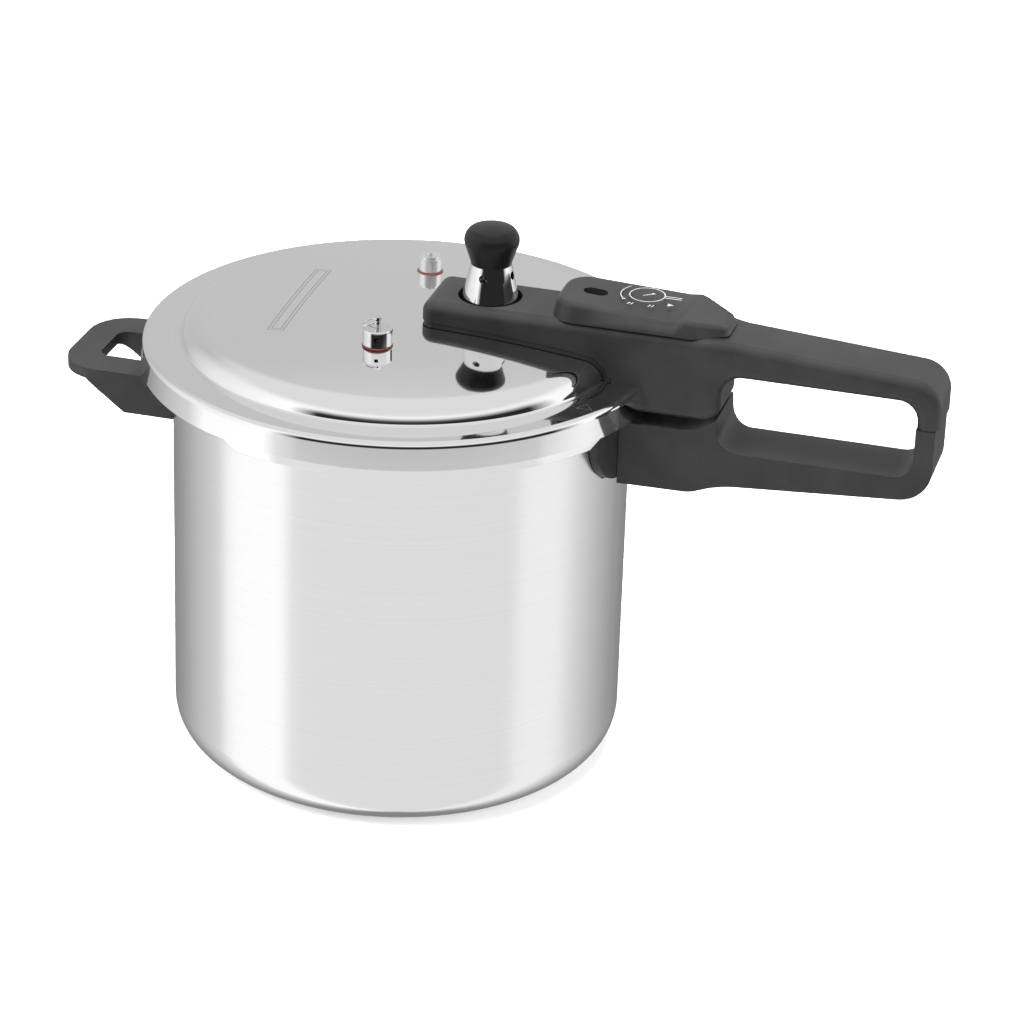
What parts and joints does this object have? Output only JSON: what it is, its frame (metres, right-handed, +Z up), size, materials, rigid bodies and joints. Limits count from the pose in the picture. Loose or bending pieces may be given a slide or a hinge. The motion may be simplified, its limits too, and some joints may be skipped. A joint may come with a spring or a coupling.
{
  "type": "pressure cooker",
  "caption": "Aluminium stovetop pressure cooker with a bayonet lid, loop handle, helper handle, lift-off weight, pressure indicator and sprung relief valves.",
  "frame": {"origin": "centre of the flat base, on the axis of the pot", "axes": "+Z up along the pot axis, +X along the long handle, lid closed"},
  "size_m": [0.435, 0.255, 0.2772],
  "materials": {
    "pot_aluminium": "satin, brushed round the wall",
    "lid_aluminium": "polished",
    "rivet_aluminium": "satin",
    "handle_plastic": "matt moulded phenolic plastic",
    "cover_plastic": "matt moulded plastic",
    "knob_plastic": "satin black plastic",
    "indicator_plastic": "matt",
    "chrome": "mirror",
    "valve_nickel": "satin",
    "steel": "zinc plated",
    "vent_brass": "turned",
    "seal_silicone": "red-brown silicone",
    "gasket_rubber": "matt rubber"
  },
  "bodies": {
    "pot": {"pot_body": "pot_aluminium", "pot_bracket": "steel", "pot_bracket_rivets": "rivet_aluminium", "lower_handle": "handle_plastic", "lower_handle_guard": "handle_plastic", "lower_handle_screw": "steel", "lower_handle_washer": "steel", "helper_bracket": "steel", "helper_bracket_rivets": "rivet_aluminium", "helper_handle": "handle_plastic", "helper_screw": "steel"},
    "lid": {"lid_shell": "lid_aluminium", "gasket": "gasket_rubber", "vent_pipe": "vent_brass", "vent_seal": "gasket_rubber", "vent_nut": "steel", "vent_screen": "steel", "lid_bracket": "steel", "lid_bracket_rivets": "rivet_aluminium", "lid_handle_screw": "steel", "lid_handle": "handle_plastic", "handle_cover": "cover_plastic", "float_bush": "seal_silicone", "front_valve_body": "chrome", "front_valve_seal": "seal_silicone", "front_valve_nut": "steel", "front_valve_spring": "steel", "rear_valve_body": "valve_nickel", "rear_valve_seal": "seal_silicone", "rear_valve_nut": "steel", "rear_valve_spring": "steel"},
    "weight": {"weight_body": "chrome", "weight_knob": "knob_plastic", "weight_needle": "steel"},
    "float": {"float_pin": "steel", "float_clip": "steel", "float_indicator": "indicator_plastic"},
    "front_stem": {"front_valve_stem": "chrome"},
    "pull_ring": {"pull_ring": "chrome"},
    "rear_piston": {"rear_valve_piston": "valve_nickel"}
  },
  "joints": [
    {"name": "lid_turn", "type": "hinge", "parent": "pot", "child": "lid", "pos_m": [0, 0, 0.203], "axis": [0, 0, 1], "range_deg": [0, 30]},
    {"name": "weight_lift", "type": "slide", "parent": "lid", "child": "weight", "axis": [0, 0, 1], "range_m": [0, 0.03]},
    {"name": "float_rise", "type": "slide", "parent": "lid", "child": "float", "axis": [0, 0, 1], "range_m": [0, 0.0042]},
    {"name": "front_valve_lift", "type": "slide", "parent": "lid", "child": "front_stem", "axis": [0, 0, 1], "range_m": [0, 0.0016], "stiffness_N_per_m": 300, "springref_m": -0.003, "deforming": ["front_valve_spring"]},
    {"name": "ring_swing", "type": "hinge", "parent": "front_stem", "child": "pull_ring", "pos_m": [0.00169, -0.04837, 0.24153], "axis": [0, 1, 0], "range_deg": [0, 140]},
    {"name": "rear_valve_lift", "type": "slide", "parent": "lid", "child": "rear_piston", "axis": [0, 0, 1], "range_m": [0, 0.001], "stiffness_N_per_m": 400, "springref_m": -0.003, "deforming": ["rear_valve_spring"]}
  ]
}
